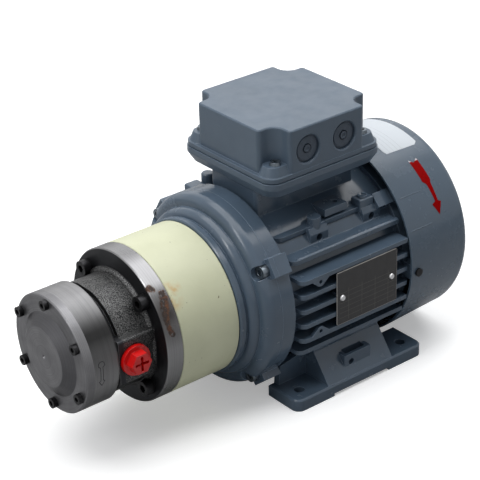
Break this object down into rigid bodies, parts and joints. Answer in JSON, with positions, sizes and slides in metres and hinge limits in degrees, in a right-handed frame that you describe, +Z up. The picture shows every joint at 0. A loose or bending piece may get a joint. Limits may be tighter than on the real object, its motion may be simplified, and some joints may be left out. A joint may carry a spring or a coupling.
{
  "type": "rotary vane pump with motor",
  "caption": "Rotary vane pump bolted through a lantern ring to a foot-mounted electric motor with a terminal box, cooling fins, fan cowl and jaw coupling.",
  "frame": {"origin": "centre of the four foot holes, on the face that stands on the floor", "axes": "+X along the shaft line from the pump to the fan, +Z up to the terminal box, -Y towards the rating plate and the suction port"},
  "size_m": [0.2965, 0.1424, 0.1859],
  "materials": {
    "pump_iron": "machined with cast skin on the neck",
    "lantern_paint": "satin",
    "motor_casting": "satin paint over cast aluminium",
    "cowl_paint": "satin",
    "black_screws": "blackened",
    "zinc_screws": "zinc plated",
    "red_plastic": "glossy",
    "dark_plastic": "matt",
    "hardened_steel": "ground",
    "carbon": "matt",
    "bronze": "turned",
    "seal_rubber": "matt",
    "spider_rubber": "satin",
    "hub_aluminium": "turned",
    "core_steel": "stacked sheets",
    "winding_copper": "varnished",
    "link_brass": "turned",
    "plate_black": "black sheet with a bare edge",
    "rivet_metal": "bare"
  },
  "bodies": {
    "housing": {"pump_cover": "pump_iron", "pump_body": "pump_iron", "lantern": "lantern_paint", "drive_end_shield": "motor_casting", "motor_frame": "motor_casting", "fan_end_shield": "motor_casting", "right_foot": "motor_casting", "left_foot": "motor_casting", "terminal_box_base": "motor_casting", "terminal_box_lid": "motor_casting", "fan_cowl": "cowl_paint", "cover_screws": "black_screws", "flange_screws": "black_screws", "shield_screws": "zinc_screws", "rear_screws": "zinc_screws", "cowl_screws": "zinc_screws", "foot_screws": "zinc_screws", "lid_screws": "zinc_screws", "earth_screw": "zinc_screws", "entry_plugs": "dark_plastic", "terminal_block": "dark_plastic", "cam_ring": "hardened_steel", "port_plate": "hardened_steel", "pump_bearing_outer_race": "hardened_steel", "bearing_circlip": "hardened_steel", "drive_bearing_outer_race": "hardened_steel", "rear_bearing_outer_race": "hardened_steel", "wave_spring": "hardened_steel", "pump_bushes": "bronze", "cover_seal": "seal_rubber", "lip_seal": "seal_rubber", "drive_end_seal": "seal_rubber", "tower_gasket": "seal_rubber", "lid_gasket": "seal_rubber", "stator_core": "core_steel", "stator_windings": "winding_copper", "terminal_studs": "link_brass", "terminal_links": "link_brass", "rating_plate": "plate_black", "rating_plate_rivets": "rivet_metal"},
    "motor_rotor": {"motor_shaft": "hardened_steel", "motor_key": "hardened_steel", "motor_hub": "hub_aluminium", "coupling_spider": "spider_rubber", "rotor_core": "core_steel", "rotor_end_rings": "hub_aluminium", "fan": "dark_plastic", "fan_circlip": "hardened_steel", "drive_bearing_inner_race": "hardened_steel", "rear_bearing_inner_race": "hardened_steel"},
    "pump_rotor": {"pump_shaft": "hardened_steel", "pump_keys": "hardened_steel", "pump_hub": "hub_aluminium", "vane_rotor": "hardened_steel", "pump_bearing_inner_race": "hardened_steel"},
    "vane_body_1": {"vane_1": "carbon"},
    "vane_body_2": {"vane_2": "carbon"},
    "vane_body_3": {"vane_3": "carbon"},
    "vane_body_4": {"vane_4": "carbon"},
    "transport_plug": {"suction_plug": "red_plastic"}
  },
  "joints": [
    {"name": "motor_spin", "type": "hinge", "parent": "housing", "child": "motor_rotor", "pos_m": [0, 0, 0.071], "axis": [1, 0, 0], "continuous": true},
    {"name": "pump_spin", "type": "hinge", "parent": "housing", "child": "pump_rotor", "pos_m": [0, 0, 0.071], "axis": [1, 0, 0], "continuous": true},
    {"name": "vane_slide_1", "type": "slide", "parent": "pump_rotor", "child": "vane_body_1", "axis": [0, 0.7071, 0.7071], "range_m": [0, 0.001]},
    {"name": "vane_slide_2", "type": "slide", "parent": "pump_rotor", "child": "vane_body_2", "axis": [0, -0.7071, 0.7071], "range_m": [0, 0.001]},
    {"name": "vane_slide_3", "type": "slide", "parent": "pump_rotor", "child": "vane_body_3", "axis": [0, -0.7071, -0.7071], "range_m": [0, 0.001]},
    {"name": "vane_slide_4", "type": "slide", "parent": "pump_rotor", "child": "vane_body_4", "axis": [0, 0.7071, -0.7071], "range_m": [0, 0.001]},
    {"name": "plug_out", "type": "slide", "parent": "housing", "child": "transport_plug", "axis": [0, -1, 0], "range_m": [0, 0.012]}
  ],
  "couplings": [
    {"joint": "pump_spin", "follows": "motor_spin", "ratio": 1}
  ]
}
